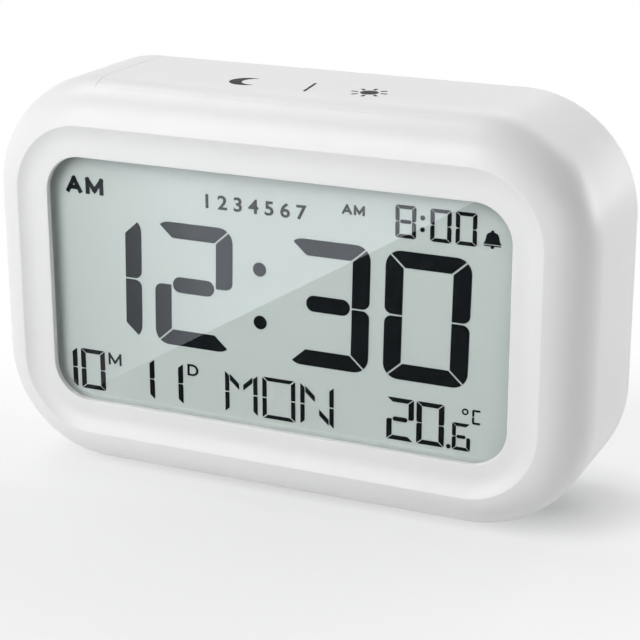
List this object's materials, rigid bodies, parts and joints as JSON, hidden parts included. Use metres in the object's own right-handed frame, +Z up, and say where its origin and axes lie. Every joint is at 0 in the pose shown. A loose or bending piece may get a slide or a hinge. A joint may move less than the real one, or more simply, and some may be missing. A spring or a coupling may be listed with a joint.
{
  "type": "digital alarm clock",
  "caption": "Free-standing digital alarm clock: rounded white body, dished frame round a grey liquid crystal display, snooze key on top, setting keys and battery door at the back.",
  "frame": {"origin": "middle of the bottom, where the feet stand", "axes": "+X to the right seen from the front, +Y to the back, +Z up; the display faces -Y"},
  "size_m": [0.135, 0.0416, 0.0871],
  "materials": {
    "white_shell": "satin white moulded plastic",
    "grey_key": "matt pale grey",
    "switch_stem": "matt ivory",
    "switch_body": "matt black",
    "clear_lens": "clear polished acrylic",
    "foam": "matt grey foam",
    "lcd_glass": "grey-green reflective display glass",
    "lcd_figure": "dark display bars",
    "light_guide": "clear acrylic",
    "white_inner": "matt white",
    "lamp": "pale resin",
    "contact_rubber": "striped contact rubber",
    "foot_rubber": "matt dark grey rubber",
    "circuit_board": "green lacquered board",
    "resin": "black resin",
    "chip_part": "tan ceramic",
    "bright_metal": "nickel plated",
    "spring_steel": "drawn steel",
    "screw_steel": "zinc plated steel",
    "sounder_brass": "rolled brass",
    "sounder_ceramic": "silvered ceramic",
    "cell_jacket": "plain printed jacket",
    "wire_jacket": "soft insulated lead",
    "ribbon": "flat grey ribbon"
  },
  "bodies": {
    "case": {"front_housing": "white_shell", "feet": "foot_rubber", "display_lens": "clear_lens", "display_gasket": "foam", "lcd_cell": "lcd_glass", "lcd_segments": "lcd_figure", "light_guide": "light_guide", "light_reflector": "white_inner", "backlight_leds": "lamp", "display_frame": "white_inner", "zebra_strips": "contact_rubber", "main_board": "circuit_board", "clock_chip": "resin", "quartz_crystal": "bright_metal", "board_parts": "chip_part", "temperature_sensor": "resin", "board_screws": "screw_steel", "snooze_bracket": "white_inner", "bracket_screws": "screw_steel", "snooze_board": "circuit_board", "snooze_switch": "switch_body", "snooze_wires": "wire_jacket", "snooze_springs": "spring_steel", "rear_cover": "white_shell", "key_board": "circuit_board", "key_switches": "switch_body", "key_ribbon": "ribbon", "key_board_screws": "screw_steel", "sounder_disc": "sounder_brass", "sounder_ceramic": "sounder_ceramic", "sounder_wires": "wire_jacket", "battery_contacts": "bright_metal", "battery_springs": "bright_metal", "battery_1": "cell_jacket", "battery_2": "cell_jacket", "battery_3": "cell_jacket", "battery_wires": "wire_jacket", "cover_screws": "screw_steel"},
    "snooze": {"snooze_key": "white_shell", "snooze_stem": "switch_stem", "snooze_clips": "spring_steel"},
    "mode": {"mode_key": "grey_key", "mode_stem": "switch_stem"},
    "set": {"set_key": "grey_key", "set_stem": "switch_stem"},
    "up": {"up_key": "grey_key", "up_stem": "switch_stem"},
    "down": {"down_key": "grey_key", "down_stem": "switch_stem"},
    "alarm": {"alarm_key": "grey_key", "alarm_stem": "switch_stem"},
    "door": {"battery_door": "white_shell"}
  },
  "joints": [
    {"name": "snooze_press", "type": "slide", "parent": "case", "child": "snooze", "axis": [0, 0, -1], "range_m": [0, 0.0008], "stiffness_N_per_m": 1200, "springref_m": -0.0008, "deforming": ["snooze_springs"]},
    {"name": "mode_press", "type": "slide", "parent": "case", "child": "mode", "axis": [0, -1, 0], "range_m": [0, 0.0005], "stiffness_N_per_m": 1000, "springref_m": -0.0005},
    {"name": "set_press", "type": "slide", "parent": "case", "child": "set", "axis": [0, -1, 0], "range_m": [0, 0.0005], "stiffness_N_per_m": 1000, "springref_m": -0.0005},
    {"name": "up_press", "type": "slide", "parent": "case", "child": "up", "axis": [0, -1, 0], "range_m": [0, 0.0005], "stiffness_N_per_m": 1000, "springref_m": -0.0005},
    {"name": "down_press", "type": "slide", "parent": "case", "child": "down", "axis": [0, -1, 0], "range_m": [0, 0.0005], "stiffness_N_per_m": 1000, "springref_m": -0.0005},
    {"name": "alarm_press", "type": "slide", "parent": "case", "child": "alarm", "axis": [0, -1, 0], "range_m": [0, 0.0005], "stiffness_N_per_m": 1000, "springref_m": -0.0005},
    {"name": "door_hinge", "type": "hinge", "parent": "case", "child": "door", "pos_m": [0, 0.01943, 0.05125], "axis": [1, 0, 0], "range_deg": [0, 90]}
  ]
}
